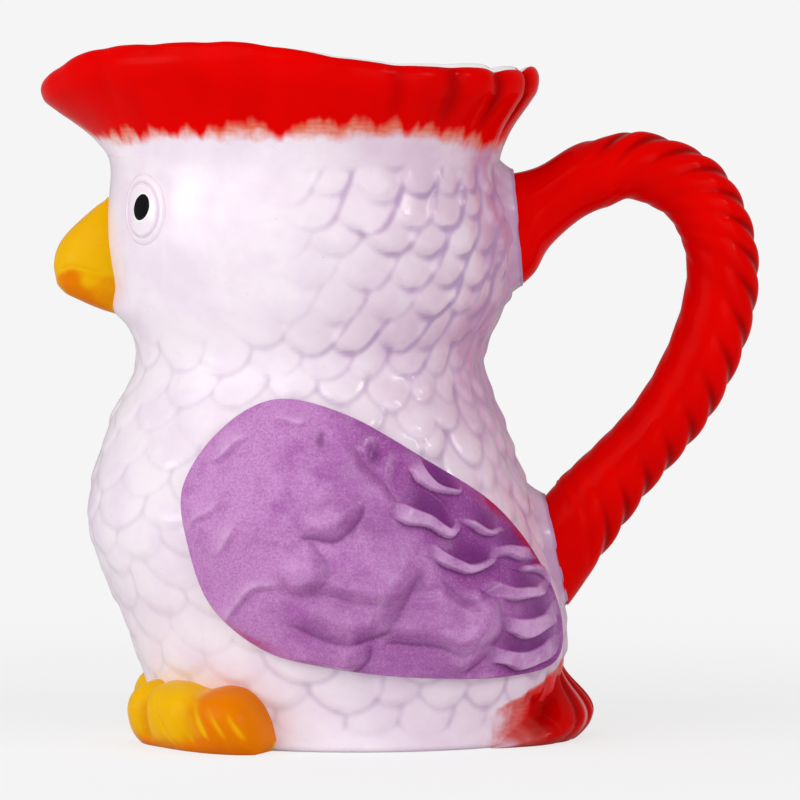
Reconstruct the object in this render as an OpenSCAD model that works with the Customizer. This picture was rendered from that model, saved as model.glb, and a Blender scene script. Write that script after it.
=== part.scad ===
// Ceramic jug in the shape of a sitting bird, in millimetres.
// The jug stands on the plane z = 0, the bird looks along -X and its left side is -Y.
// Every section of the body is an ellipse given by how far it reaches to the front, back and side.

/* [Body] */
// Height of the fullest part of the belly
belly_height = 64; // [54:1:77]
// Rise from the belly to the neck
neck_rise = 46; // [39:1:55]
// Rise from the neck to the fullest part of the head
head_rise = 36; // [30:1:43]
// Rise from the head to the joint with the rim
crown_rise = 22; // [20:1:27]
// Reach of the base to the front, back and side
base_reach = [57, 57, 48]; // [38:0.5:70]
// Reach of the flanks, between the base and the belly
flank_reach = [66.5, 61, 57]; // [46:0.5:80]
// Reach of the belly
belly_reach = [78, 53, 64]; // [44:0.5:94]
// Reach of the waist, between the belly and the neck
waist_reach = [71.5, 43, 57]; // [36:0.5:86]
// Reach of the neck
neck_reach = [64, 37, 49]; // [31:0.5:77]
// Reach of the cheeks, between the neck and the head
cheek_reach = [70, 44.5, 53.5]; // [36:0.5:84]
// Reach of the head
head_reach = [72.5, 46, 55.5]; // [38:0.5:87]
// Reach of the body at the joint with the rim
crown_reach = [72, 41.5, 54]; // [35:0.5:87]
// Thickness of the cast wall
wall = 5; // [3:0.5:7]
// Thickness of the floor
floor_thickness = 6; // [4:0.5:9]

/* [Base] */
// Thickness of the unglazed flat foot under the base
base_foot_thickness = 2; // [1:0.5:4]
// Distance that the flat foot stands back from the edge of the base
base_foot_inset = 1; // [0.5:0.5:3]

/* [Pouring rim] */
// Rise of the rim's edge at the back
rim_back_rise = 25.5; // [20:0.5:31]
// Rise of the rim's edge beside the spout
rim_front_rise = 33.5; // [27:0.5:41]
// Flare of the rim at the back
rim_back_flare = 11.5; // [8:0.5:15]
// Flare of the rim at the sides
rim_side_flare = 9; // [6:0.5:12]
// Forward reach of the spout
spout_reach = 19; // [14:0.5:24]
// Drop of the spout's tip below the rim beside it
spout_drop = 14; // [8:0.5:18]
// Thickness of the rim's edge
lip_thickness = 3.5; // [2.5:0.5:5]
// Number of flutes around the rim
flutes = 22; // [12:2:32]
// Depth of the flutes at the edge
flute_depth = 1.2; // [0.5:0.1:2]

/* [Handle] */
// Distance between the upper pad and the joint with the rim
rim_gap = 2.5; // [1:0.5:6]
// Height of the lower root below the belly
handle_lower_drop = 10; // [5:1:14]
// Greatest distance of the handle's centre line from its upper root
handle_reach = 57; // [48:1:70]
// Thickness of the grip, seen from the side
handle_thickness = 21; // [17:0.5:25]
// Width of the grip, seen from behind
handle_width = 20; // [16:0.5:25]
// Height of the upper root
upper_root_height = 34; // [28:1:38]
// Height of the lower root
lower_root_height = 32; // [26:1:38]
// Width of both roots
root_width = 24; // [20:0.5:29]
// Thickness of the clay pads under the roots
seat_thickness = 1.8; // [1.2:0.2:4]
// Margin of the pads around the roots
seat_margin = 1.5; // [0.5:0.5:3]

/* [Wings] */
// Greatest thickness of a wing
wing_thickness = 5.5; // [3:0.5:7]
// Thickness of a wing at its edge
wing_edge = 1.2; // [0.8:0.2:2.5]
// Height of a wing's top above the fullest part of the belly
wing_rise = 36; // [30:1:43]
// Distance between the top of the tail and the lower back corner of a wing
wing_tail_gap = 2; // [1:0.5:6]

/* [Face] */
// Height of the eyes above the fullest part of the head
eye_rise = 7; // [3:0.5:8]
// Radius of an eye
eye_radius = 9.8; // [8:0.2:11.8]
// Height that an eye stands out
eye_relief = 1.6; // [1:0.2:2.4]
// Angle of an eye around the head, from the back
eye_angle = 142; // [130:1:150]
// Height of the beak's top above the fullest part of the head
beak_top_rise = 10; // [6:1:12]
// Height of the beak
beak_height = 33; // [27:1:40]
// Width of the beak
beak_width = 26; // [21:1:31]
// Forward reach of the beak
beak_reach = 15; // [12:0.5:18]

/* [Feet and tail] */
// Height of a foot
foot_height = 20; // [16:1:24]
// Distance that the toes stand out
toe_reach = 11.5; // [9:0.5:14]
// Height of the tail
tail_height = 22; // [18:1:26]
// Distance that the tail stands out
tail_reach = 10.5; // [8:0.5:13]
// Angle of the tail to each side
tail_angle = 44; // [36:1:50]
// Number of ridges on the tail
tail_ridges = 7; // [5:2:9]

/* [Fit] */
// Thickness of the slip that joins two pieces
slip_gap = 0.3; // [0.2:0.05:0.5]

/* [Hidden] */

// Glaze colours
lilac_white = [0.93, 0.88, 0.94];
poppy_red = [0.85, 0.04, 0.02];
wing_purple = [0.68, 0.42, 0.70];
beak_yellow = [0.95, 0.66, 0.08];
bare_clay = [0.90, 0.87, 0.82];

// Heights of the body's stations
neck_z = belly_height + neck_rise;
head_z = neck_z + head_rise;
seat_z = head_z + crown_rise;
flank_share = 0.47;
waist_share = 0.59;
cheek_share = 0.53;
flank_z = flank_share * belly_height;
waist_z = belly_height + waist_share * neck_rise;
cheek_z = neck_z + cheek_share * head_rise;
body_stations = [
  [0, base_reach], [flank_z, flank_reach], [belly_height, belly_reach], [waist_z, waist_reach],
  [neck_z, neck_reach], [cheek_z, cheek_reach], [head_z, head_reach], [seat_z, crown_reach]
];

// How finely the curved surfaces are divided
body_segments = 60;
body_rings = 28;
cavity_rings = 20;
rim_segments = 4 * flutes;
handle_segments = 16;
handle_rings = 40;
patch_rings = 10;
skirt_steps = 30;

// Small helpers
function clamp(value, low, high) = max(low, min(high, value));
function mix(a, b, share) = a + (b - a) * share;
function bell(offset, spread) = exp(-pow(offset / spread, 2));

// Smooth curve through stations [place, value], which never swings past a station's value
function secant(p, i) = (p[i + 1][1] - p[i][1]) / (p[i + 1][0] - p[i][0]);
function station_slope(p, i) =
  i == 0 || i == len(p) - 1 ? 0 :
  secant(p, i - 1) * secant(p, i) <= 0 ? 0 :
  2 * secant(p, i - 1) * secant(p, i) / (secant(p, i - 1) + secant(p, i));
function station_index(p, place, i = 0) =
  i >= len(p) - 2 || place < p[i + 1][0] ? i : station_index(p, place, i + 1);
function hermite(a, b, slope_a, slope_b, t) =
  a * (2 * pow(t, 3) - 3 * pow(t, 2) + 1) + b * (3 * pow(t, 2) - 2 * pow(t, 3))
  + slope_a * (pow(t, 3) - 2 * pow(t, 2) + t) + slope_b * (pow(t, 3) - pow(t, 2));
function curve(p, place) =
  let (i = station_index(p, place))
  let (gap = p[i + 1][0] - p[i][0])
  let (t = clamp((place - p[i][0]) / gap, 0, 1))
  hermite(p[i][1], p[i + 1][1], gap * station_slope(p, i), gap * station_slope(p, i + 1), t);

// Point at share t between points b and c of an evenly run path a, b, c, d
function path_point(a, b, c, d, t) = hermite(b, c, (c - a) / 2, (d - b) / 2, t);
function closed_path(p, steps) = [
  for (i = [0 : len(p) - 1], k = [0 : steps - 1])
    path_point(p[(i + len(p) - 1) % len(p)], p[i], p[(i + 1) % len(p)], p[(i + 2) % len(p)], k / steps)
];
function open_path(p, share) =
  let (last = len(p) - 1)
  let (place = share * last)
  let (i = min(floor(place), last - 1))
  path_point(p[max(i - 1, 0)], p[i], p[i + 1], p[min(i + 2, last)], place - i);

// Body section at a height: how far it reaches to the front, back and side
function reach_at(z, k) = curve([for (s = body_stations) [s[0], s[1][k]]], z);
function section_at(z) =
  let (front = reach_at(z, 0), back = reach_at(z, 1))
  [(back - front) / 2, (back + front) / 2, reach_at(z, 2)];

// Point of an ellipse [centre, half length, half width], moved out across its edge
function ellipse_point(e, angle, out) =
  let (across = [cos(angle) * e[2], sin(angle) * e[1]])
  let (unit = across / norm(across))
  [e[0] + e[1] * cos(angle) + out * unit[0], -e[2] * sin(angle) - out * unit[1]];

// Point of the body's outside: angle 0 is the back, 90 the left side and 180 the front
function skin(angle, z, out = 0) =
  let (p = ellipse_point(section_at(z), angle, out))
  [p[0], p[1], z];

// The body's outside at a distance y from the middle plane, on the back or on the front
function back_skin(y, z) =
  let (e = section_at(z))
  e[0] + e[1] * sqrt(1 - pow(y / e[2], 2));
function front_skin(y, z) =
  let (e = section_at(z))
  e[0] - e[1] * sqrt(1 - pow(y / e[2], 2));

// Solid through closed rings of points, closed at each end by a fan to a point
module loft(rings, first_point, last_point) {
  n = len(rings[0]);
  count = n * len(rings);
  points = [each [for (ring = rings) each ring], first_point, last_point];
  sides = [
    for (i = [0 : len(rings) - 2], j = [0 : n - 1])
      let (a = i * n + j, b = i * n + (j + 1) % n)
      each [[a, a + n, b], [b, a + n, b + n]]
  ];
  first_fan = [for (j = [0 : n - 1]) [count, j, (j + 1) % n]];
  last_fan = [for (j = [0 : n - 1]) [count + 1, count - n + (j + 1) % n, count - n + j]];
  polyhedron(points, concat(sides, first_fan, last_fan), convexity = 8);
}

// Solid ring through closed rings of points, where the last one meets the first
module ring_loft(rings) {
  n = len(rings[0]);
  count = n * len(rings);
  points = [for (ring = rings) each ring];
  sides = [
    for (i = [0 : len(rings) - 1], j = [0 : n - 1])
      let (a = i * n + j, b = i * n + (j + 1) % n)
      each [[a, (a + n) % count, b], [b, (a + n) % count, (b + n) % count]]
  ];
  polyhedron(points, sides, convexity = 8);
}

// Hollow body: up the outside, over the joint with the rim, down the inside to the floor
body_bottom = base_foot_thickness + slip_gap;
cavity_bottom = body_bottom + floor_thickness;
function body_ring(z, out) = [for (j = [0 : body_segments - 1]) skin(-j * 360 / body_segments, z, out)];
module body_shell() {
  outside = [for (i = [0 : body_rings]) body_ring(mix(body_bottom, seat_z, i / body_rings), 0)];
  inside = [for (i = [0 : cavity_rings]) body_ring(mix(seat_z, cavity_bottom, i / cavity_rings), -wall)];
  color(lilac_white) loft(concat(outside, inside), [0, 0, body_bottom], [0, 0, cavity_bottom]);
}

// Flat unglazed foot under the base
base_outline = [
  for (j = [0 : body_segments - 1])
    ellipse_point(section_at(0), j * 360 / body_segments, -base_foot_inset)
];
module base_foot() { color(bare_clay) linear_extrude(base_foot_thickness) polygon(base_outline); }

// Pouring rim: fluted outside, smooth inside, drawn forward and down at the spout
rim_z = seat_z + slip_gap;
spout_spread = 30;
spout_tip_spread = 20;
flare_power = 1.25;
function from_front(angle) = abs(180 - (angle + 360) % 360);
function rim_flare(angle) =
  mix(rim_side_flare, rim_back_flare, pow(max(cos(angle), 0), 2))
  + (spout_reach - rim_side_flare) * bell(from_front(angle), spout_spread);
function flute(angle) = abs(sin(flutes * angle / 2)) - 1;
function rim_edge_z(angle) =
  seat_z + mix(rim_back_rise, rim_front_rise, (1 - cos(angle)) / 2)
  - spout_drop * bell(from_front(angle), spout_tip_spread) + flute_depth * flute(angle);
function rim_point(angle, up, inset, fluting) =
  let (out = rim_flare(angle) * pow(up, flare_power) + fluting * flute_depth * flute(angle) * up - inset)
  let (p = ellipse_point(section_at(seat_z), angle, out))
  [p[0], p[1], mix(rim_z, rim_edge_z(angle), up)];
function rim_ring(up, inset, fluting) = [
  for (j = [0 : rim_segments - 1]) rim_point(-j * 360 / rim_segments, up, inset, fluting)
];
module pouring_rim() {
  lip_start = 0.94;
  outside = [for (up = [0, 0.2, 0.4, 0.6, 0.8, lip_start]) rim_ring(up, 0, 1)];
  lip = [rim_ring(1, lip_thickness / 2, 0.5)];
  inside = [
    for (up = [lip_start, 0.75, 0.5, 0.25, 0])
      rim_ring(up, mix(wall, lip_thickness, up), 0)
  ];
  color(poppy_red) ring_loft(concat(outside, lip, inside));
}

// Seats of the handle: [lower edge, upper edge] of each root, as points [x, z] on the pad's face
upper_root_z = seat_z - rim_gap - seat_margin - upper_root_height / 2;
lower_root_z = belly_height - handle_lower_drop;
function proud_back(z, half) = max([for (k = [-1 : 0.25 : 1]) reach_at(z + k * half, 1)]);
upper_face = [
  for (side = [-1, 1])
    [proud_back(upper_root_z, upper_root_height / 2) + slip_gap + seat_thickness,
     upper_root_z + side * upper_root_height / 2]
];
lower_bulge = max([
  for (k = [-1 : 0.25 : 1])
    reach_at(lower_root_z + k * lower_root_height / 2, 1)
    - mix(reach_at(lower_root_z - lower_root_height / 2, 1),
          reach_at(lower_root_z + lower_root_height / 2, 1), (k + 1) / 2)
]);
lower_face = [
  for (side = [-1, 1])
    [reach_at(lower_root_z + side * lower_root_height / 2, 1) + lower_bulge + slip_gap + seat_thickness,
     lower_root_z + side * lower_root_height / 2]
];

// Handle sections: [centre x, centre z, tilt of the section, half thickness, half width]
function face_centre(face) = (face[0] + face[1]) / 2;
function face_tilt(face) = atan2(face[1][1] - face[0][1], face[1][0] - face[0][0]);
upper_centre = face_centre(upper_face) + [slip_gap, 0];
lower_centre = face_centre(lower_face) + [slip_gap, 0];
upper_tilt = face_tilt(upper_face);
lower_tilt = face_tilt(lower_face) - 180;
// Share of the way down between the roots, share of the reach, tilt, and share of the grip's thickness
handle_shape = [
  [-0.14, 0.29, 91, 1.20], [-0.20, 0.60, 80, 1.02], [-0.11, 0.89, 47, 1.02], [0.08, 1.00, 8, 1.04],
  [0.31, 0.90, -4, 1.03], [0.56, 0.66, -10, 1.06], [0.80, 0.27, -24, 1.10]
];
handle_path = [
  [upper_centre[0], upper_centre[1], upper_tilt, upper_root_height / 2, root_width / 2],
  for (s = handle_shape)
    [mix(upper_centre[0], lower_centre[0], s[0]) + s[1] * handle_reach,
     mix(upper_centre[1], lower_centre[1], s[0]), s[2], s[3] * handle_thickness / 2, handle_width / 2],
  [lower_centre[0], lower_centre[1], lower_tilt, lower_root_height / 2, root_width / 2]
];
function handle_ring(s) = [
  for (j = [0 : handle_segments - 1])
    let (turn = j * 360 / handle_segments)
    [s[0] + s[3] * cos(turn) * cos(s[2]), s[4] * sin(turn), s[1] + s[3] * cos(turn) * sin(s[2])]
];
module handle() {
  rings = [for (i = [0 : handle_rings]) handle_ring(open_path(handle_path, i / handle_rings))];
  first = handle_path[0];
  last = handle_path[len(handle_path) - 1];
  color(poppy_red) loft(rings, [first[0], 0, first[1]], [last[0], 0, last[1]]);
}

// Pad under a root: flat on the handle's side, and following the body on the other
seat_segments = 40;
seat_rings = 9;
module handle_seat(face) {
  middle = face_centre(face);
  along = (face[1] - face[0]) / norm(face[1] - face[0]);
  half = norm(face[1] - face[0]) / 2 + seat_margin;
  half_width = root_width / 2 + seat_margin;
  function flat_point(share, turn) =
    let (p = middle + along * half * share * cos(turn))
    [p[0], half_width * share * sin(turn), p[1]];
  function body_point(share, turn) =
    let (p = flat_point(share, turn))
    [back_skin(p[1], p[2]) + slip_gap, p[1], p[2]];
  turns = [for (j = [0 : seat_segments - 1]) j * 360 / seat_segments];
  inner = [for (i = [1 : seat_rings]) [for (t = turns) body_point(i / seat_rings, t)]];
  outer = [for (i = [seat_rings : -1 : 1]) [for (t = turns) flat_point(i / seat_rings, t)]];
  color(lilac_white) loft(concat(inner, outer), body_point(0, 0), flat_point(0, 0));
}
module handle_upper_seat() { handle_seat(upper_face); }
module handle_lower_seat() { handle_seat(lower_face); }

// Relief that lies on the body, from a middle point and an edge given as [angle, height] on it
module skin_patch(middle, edge, thickness, shares) {
  function place(share, target) = mix(middle, target, share);
  function patch_ring(share, out) = [
    for (target = edge)
      let (p = place(share, target))
      skin(p[0], p[1], out)
  ];
  backs = [for (s = shares) patch_ring(s, slip_gap)];
  fronts = [
    for (i = [len(shares) - 1 : -1 : 0])
      patch_ring(shares[i], slip_gap + thickness(shares[i]))
  ];
  first_point = skin(middle[0], middle[1], slip_gap);
  last_point = skin(middle[0], middle[1], slip_gap + thickness(0));
  loft(concat(backs, fronts), first_point, last_point);
}
even_shares = [for (i = [1 : patch_rings]) i / patch_rings];

// Wing: its outline as [angle around the body, height above the belly], drawn for one size and
// stretched above and below the belly to the size that is set
wing_middle = [78, -5];
wing_outline = [
  [123, 14], [122, -4], [121, -22], [111, -34], [94, -39], [72, -42], [46, -43], [24, -40],
  [20, -28], [27, -7], [37, 8], [54, 20], [76, 32], [98, 36], [114, 28]
];
wing_corner = wing_outline[7];
outline_rise = max([for (p = wing_outline) p[1]]);
outline_steps = 3;
wing_stretch_up = wing_rise / outline_rise;
wing_stretch_down = (belly_height - tail_height - wing_tail_gap) / -wing_corner[1];
function from_belly(p) = [p[0], belly_height + p[1] * (p[1] < 0 ? wing_stretch_down : wing_stretch_up)];
module wing() {
  color(wing_purple) skin_patch(
    from_belly(wing_middle), [for (p = closed_path(wing_outline, outline_steps)) from_belly(p)],
    function (share) wing_edge + (wing_thickness - wing_edge) * sqrt(1 - pow(share, 3)), even_shares
  );
}
module left_wing() { wing(); }
module right_wing() { mirror([0, 1, 0]) wing(); }

// Eye: a domed disc inside a raised ring
eye_segments = 28;
eye_z = head_z + eye_rise;
ring_share = 0.88;
ring_spread = 0.08;
eye_edge = 0.4;
eye_dome_share = 0.8;
eye_shares = [0.25, 0.5, 0.7, 0.8, ring_share, 0.95, 1];
function eye_profile(share) =
  max(eye_dome_share * (1 - pow(share, 4)), bell(share - ring_share, ring_spread));
// Degrees of angle that a millimetre spans on the head beside the eye
function degrees_per_mm(angle, z) =
  let (e = section_at(z))
  180 / (PI * norm([e[1] * sin(angle), e[2] * cos(angle)]));
module eye() {
  spread = degrees_per_mm(eye_angle, eye_z);
  edge = [
    for (j = [0 : eye_segments - 1])
      let (turn = -j * 360 / eye_segments)
      [eye_angle + eye_radius * spread * cos(turn), eye_z + eye_radius * sin(turn)]
  ];
  color(lilac_white) skin_patch(
    [eye_angle, eye_z], edge,
    function (share) eye_edge + (eye_relief - eye_edge) * eye_profile(share), eye_shares
  );
}
module left_eye() { eye(); }
module right_eye() { mirror([0, 1, 0]) eye(); }

// Beak: rounded from side to side, and fullest below the middle
beak_top_z = head_z + beak_top_rise;
beak_steps = 14;
beak_columns = 10;
beak_edge = 0.6;
beak_fullest = 0.38;
beak_roundness = 0.8;
function beak_rise(share) =
  share > beak_fullest ? 1 - pow((share - beak_fullest) / (1 - beak_fullest), 2)
  : 1 - pow((beak_fullest - share) / beak_fullest, 2.8);
function beak_row(share) =
  let (z = beak_top_z - beak_height * (1 - share))
  let (half = beak_width / 2 * sqrt(1 - pow(2 * share - 1, 2)))
  let (turns = [for (j = [0 : beak_columns]) -90 + j * 180 / beak_columns])
  concat(
    [for (t = turns)
      let (y = half * sin(t))
      let (out = beak_edge + beak_reach * beak_rise(share) * pow(max(cos(t), 0), beak_roundness))
      [front_skin(y, z) - slip_gap - out, y, z]],
    [for (j = [beak_columns : -1 : 0])
      let (y = half * sin(turns[j]))
      [front_skin(y, z) - slip_gap, y, z]]
  );
module beak() {
  end_share = 0.02;
  rows = [for (i = [0 : beak_steps]) beak_row(mix(end_share, 1 - end_share, i / beak_steps))];
  bottom_z = beak_top_z - beak_height;
  color(beak_yellow) loft(
    rows, [front_skin(0, bottom_z) - slip_gap - beak_edge / 2, 0, bottom_z],
    [front_skin(0, beak_top_z) - slip_gap - beak_edge / 2, 0, beak_top_z]
  );
}

// Relief that stands on the table and leans on the body, swept around it from one angle to another
skirt_edge = 0.8;
inner_points = 5;
outer_points = 9;
module skirt(from_angle, to_angle, height, thickness, section) {
  function inner_part(angle) = [
    for (i = [0 : inner_points - 1])
      skin(angle, height(angle) * i / (inner_points - 1), slip_gap)
  ];
  function outer_part(angle) = [
    for (i = [outer_points - 1 : -1 : 0])
      let (share = sin(90 * i / (outer_points - 1)))
      skin(angle, height(angle) * share, slip_gap + skirt_edge + thickness(angle) * section(share))
  ];
  rings = [
    for (i = [0 : skirt_steps])
      let (angle = mix(from_angle, to_angle, i / skirt_steps))
      concat(inner_part(angle), outer_part(angle))
  ];
  function cap_point(angle) = skin(angle, height(angle) / 2, slip_gap + skirt_edge / 2);
  loft(rings, cap_point(from_angle), cap_point(to_angle));
}

// Foot: its toes as [angle, half angle, share of the height]
toes = [[157, 10, 0.90], [142, 10, 1.00], [122, 13, 0.97]];
foot_from = 109.5;
foot_to = 166.5;
foot_edge_share = 0.3;
function toe_share(angle) =
  max([for (t = toes) sqrt(max(0, 1 - pow((angle - t[0]) / t[1], 2)))]);
function toe_height(angle) =
  foot_height * max([
    for (t = toes)
      t[2] * mix(foot_edge_share, 1, pow(max(0, 1 - pow((angle - t[0]) / t[1], 2)), 0.3))
  ]);
module foot() {
  color(beak_yellow) skirt(
    foot_from, foot_to, function (angle) toe_height(angle),
    function (angle) toe_reach * toe_share(angle), function (share) sqrt(1 - pow(share, 2.4))
  );
}
module left_foot() { foot(); }
module right_foot() { mirror([0, 1, 0]) foot(); }

// Tail: a fan of ridges that turns out above the table
tail_fullest = 0.33;
tail_under = 0.35;
ridge_share = 0.08;
function tail_section(share) =
  share > tail_fullest ? pow(max(0, cos(90 * (share - tail_fullest) / (1 - tail_fullest))), 1.3)
  : 1 - tail_under * pow((tail_fullest - share) / tail_fullest, 2);
function tail_share(angle) =
  pow(max(0, cos(90 * angle / tail_angle)), 0.7)
  * (1 + ridge_share * (abs(cos(90 * tail_ridges * angle / tail_angle)) - 1));
module tail_fan() {
  color(poppy_red) skirt(
    -tail_angle, tail_angle,
    function (angle) tail_height * (0.7 + 0.3 * cos(90 * angle / tail_angle)),
    function (angle) tail_reach * tail_share(angle), function (share) tail_section(share)
  );
}

body_shell();
pouring_rim();
handle();
handle_upper_seat();
handle_lower_seat();
left_wing();
right_wing();
beak();
left_eye();
right_eye();
left_foot();
right_foot();
tail_fan();
base_foot();
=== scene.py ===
"""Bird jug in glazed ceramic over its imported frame, in millimetres, with its studio in metres."""

import bpy
import numpy as np
from mathutils import Color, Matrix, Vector
from numpy import clip, cos, exp, hypot, linspace, maximum, pi, radians, sin, sqrt

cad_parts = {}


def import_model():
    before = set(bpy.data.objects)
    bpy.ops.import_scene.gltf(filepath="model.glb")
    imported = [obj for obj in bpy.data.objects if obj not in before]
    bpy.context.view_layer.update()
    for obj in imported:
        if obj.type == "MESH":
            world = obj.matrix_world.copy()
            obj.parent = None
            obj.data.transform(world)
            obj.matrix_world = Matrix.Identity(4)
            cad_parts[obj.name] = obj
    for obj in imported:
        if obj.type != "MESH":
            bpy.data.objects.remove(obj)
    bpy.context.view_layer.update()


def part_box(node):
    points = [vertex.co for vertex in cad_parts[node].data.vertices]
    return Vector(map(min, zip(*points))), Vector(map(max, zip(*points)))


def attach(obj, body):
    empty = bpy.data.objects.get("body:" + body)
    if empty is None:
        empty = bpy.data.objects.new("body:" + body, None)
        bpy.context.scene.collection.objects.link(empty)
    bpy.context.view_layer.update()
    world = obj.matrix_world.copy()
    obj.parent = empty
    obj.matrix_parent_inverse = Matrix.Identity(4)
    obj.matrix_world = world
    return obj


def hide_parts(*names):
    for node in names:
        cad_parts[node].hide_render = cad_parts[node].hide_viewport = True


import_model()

MM = 0.001
RNG = np.random.default_rng(7)

# Small helpers
FINE_STEPS = 40


def mix(a, b, share):
    return a + (b - a) * share


def ease(value, low, high):
    """0 up to low, 1 from high on, smooth between; low may be the larger one."""
    t = clip((value - low) / (high - low), 0, 1)
    return t * t * (3 - 2 * t)


def bell(offset, spread):
    """1 at no offset, next to nothing at twice the spread."""
    return exp(-(offset / spread) ** 2)


def spot(x, z, wide, high):
    return bell(hypot(x / wide, z / high), 1)


def turn_from(angle, middle):
    """Signed difference of two angles in degrees."""
    return (angle - middle + 180) % 360 - 180


def off_back(angle):
    """Degrees from the middle of the back, on either side."""
    return abs(turn_from(angle, 0))


def even_turn(count):
    return np.arange(count) * 360 / count


def node_box(node):
    return [np.array(corner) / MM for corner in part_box(node)]


def hermite(t, start, end, leave, arrive):
    return (start * (2 * t**3 - 3 * t**2 + 1) + end * (3 * t**2 - 2 * t**3)
            + leave * (t**3 - 2 * t**2 + t) + arrive * (t**3 - t**2))


def smooth_curve(stations, column, start=0.0):
    """Curve of a column over the first one that never swings past a station's value."""
    places, values = stations[:, 0], stations[:, column]
    secant = np.diff(values) / np.diff(places)
    slope = np.zeros(len(places))
    slope[0] = start
    for i, (before, after) in enumerate(zip(secant, secant[1:]), 1):
        if before * after > 0:
            slope[i] = 2 * before * after / (before + after)

    def at(place):
        i = clip(np.searchsorted(places, place, side="right") - 1, 0, len(places) - 2)
        gap = places[i + 1] - places[i]
        t = clip((place - places[i]) / gap, 0, 1)
        return hermite(t, values[i], values[i + 1], gap * slope[i], gap * slope[i + 1])
    return at


def unit(vectors):
    return vectors / np.linalg.norm(vectors, axis=-1, keepdims=True)


def path_run(points):
    return np.append(0, np.cumsum(np.linalg.norm(np.diff(points, axis=0), axis=1)))


def even_path(points, count, closed=False):
    """Points at even distances along a smooth curve through the given points."""
    points = np.asarray(points, float)
    last = len(points) - (not closed)
    place = linspace(0, last, FINE_STEPS * len(points) + 1)
    i = np.minimum(place.astype(int), last - 1)
    a, b, c, d = (points.take(i + k, axis=0, mode="wrap" if closed else "clip") for k in (-1, 0, 1, 2))
    curve = hermite((place - i)[:, None], b, c, (c - a) / 2, (d - b) / 2)
    run = path_run(curve[:, :2])
    even = linspace(0, run[-1], count + closed)[:count]
    return np.stack([np.interp(even, run, column) for column in curve.T], -1)


def soften(height, passes, wrap=False):
    """Height field averaged with its neighbours in some passes; wrap joins its columns."""
    for _ in range(passes):
        padded = np.pad(height, ((1, 1), (0, 0)), mode="edge")
        height = (padded[:-2] + 2 * height + padded[2:]) / 4
        padded = np.pad(height, ((0, 0), (1, 1)), mode="wrap" if wrap else "edge")
        height = (padded[:, :-2] + 2 * height + padded[:, 2:]) / 4
    return height


# Form of the body: height of each station, then its reach to the front, back and side
STATIONS = np.array([
    [0, 57, 57, 48], [30.1, 66.5, 61, 57], [64, 78, 53, 64], [91.1, 71.5, 43, 57],
    [110, 64, 37, 49], [129.1, 70, 44.5, 53.5], [146, 72.5, 46, 55.5], [168, 72, 41.5, 54],
])
front_reach, back_reach, side_reach = (smooth_curve(STATIONS, k) for k in (1, 2, 3))
WALL = 5.0
HALF_SLIP = 0.15
JOINT_Z = node_box("body_shell")[1][2] + HALF_SLIP
BELLY_Z = STATIONS[2, 0]
CHIN_Z, CHIN_RISE, CHIN_SPREAD, CHIN_TURN = 124.5, 2.4, 4.0, 26


def skin(angle, z, out=0.0):
    """Points of the body's plain outside: angle 0 is the back, 90 the left side, 180 the front."""
    angle, z = np.broadcast_arrays(angle, z)
    front, back, side = front_reach(z), back_reach(z), side_reach(z)
    length = (back + front) / 2
    c, s = cos(radians(angle)), sin(radians(angle))
    across = hypot(side * c, length * s)
    x = (back - front) / 2 + length * c + out * side * c / across
    y = -(side * s + out * length * s / across)
    return np.stack([x, y, z], -1)


def skin_front(y, z):
    """How far the body reaches to the front at a distance y from its middle."""
    front, back, side = front_reach(z), back_reach(z), side_reach(z)
    return (front - back) / 2 + (front + back) / 2 * sqrt(1 - (y / side) ** 2)


def raised(angle, z, height):
    """Points at a height above the plain outside."""
    step = 0.2
    around = skin(angle + step, z) - skin(angle - step, z)
    up = skin(angle, z + step) - skin(angle, z - step)
    return skin(angle, z) + unit(np.cross(up, around)) * np.asarray(height)[..., None]


def mm_per_degree(angle, z):
    return np.linalg.norm(skin(angle + 0.5, z) - skin(angle - 0.5, z), axis=-1)


def chin_rise(z):
    return CHIN_RISE * bell(z - CHIN_Z, CHIN_SPREAD)


# Meshes
SHARP_ANGLE = radians(70)
# Value of a field on the points that it isn't given for; 0 for the other fields
FIELD_REST = {"inner": 1.0, "painted": -50.0, "edge": 5.0, "away": 9.0}


def grid_faces(rows, columns, wrap_rows=False, wrap_columns=True):
    """Quads of a grid of points; wrapping joins the last line to the first."""
    index = np.arange(rows * columns).reshape(rows, columns)
    beside, below = np.roll(index, -1, 1), np.roll(index, -1, 0)
    quads = np.stack([index, beside, np.roll(beside, -1, 0), below], -1)
    return quads[:rows - (not wrap_rows), :columns - (not wrap_columns)].reshape(-1, 4).tolist()


def fan_faces(loop, middle):
    return [[int(a), int(b), middle] for a, b in zip(loop, np.roll(loop, -1))]


def capped_tube(rings, *ends):
    """Tube of closed rings that ends in fans around two points, or around the end rings' middles."""
    rows, columns = rings.shape[:2]
    count = rows * columns
    ends = ends or (rings[0].mean(0), rings[-1].mean(0))
    faces = grid_faces(rows, columns)
    faces += fan_faces(np.arange(columns)[::-1], count)
    faces += fan_faces(np.arange(count - columns, count), count + 1)
    return np.vstack([rings.reshape(-1, 3), ends]), faces


def enclosed_volume(points, faces):
    """Signed volume times six, negative where the faces look inwards."""
    triangles = [(face[0], face[k], face[k + 1]) for face in faces for k in range(1, len(face) - 1)]
    a, b, c = points[np.array(triangles).T]
    return np.einsum("ij,ij->", a, np.cross(b, c))


def new_object(name, data):
    made = bpy.data.objects.new(name, data)
    bpy.context.scene.collection.objects.link(made)
    return made


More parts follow.
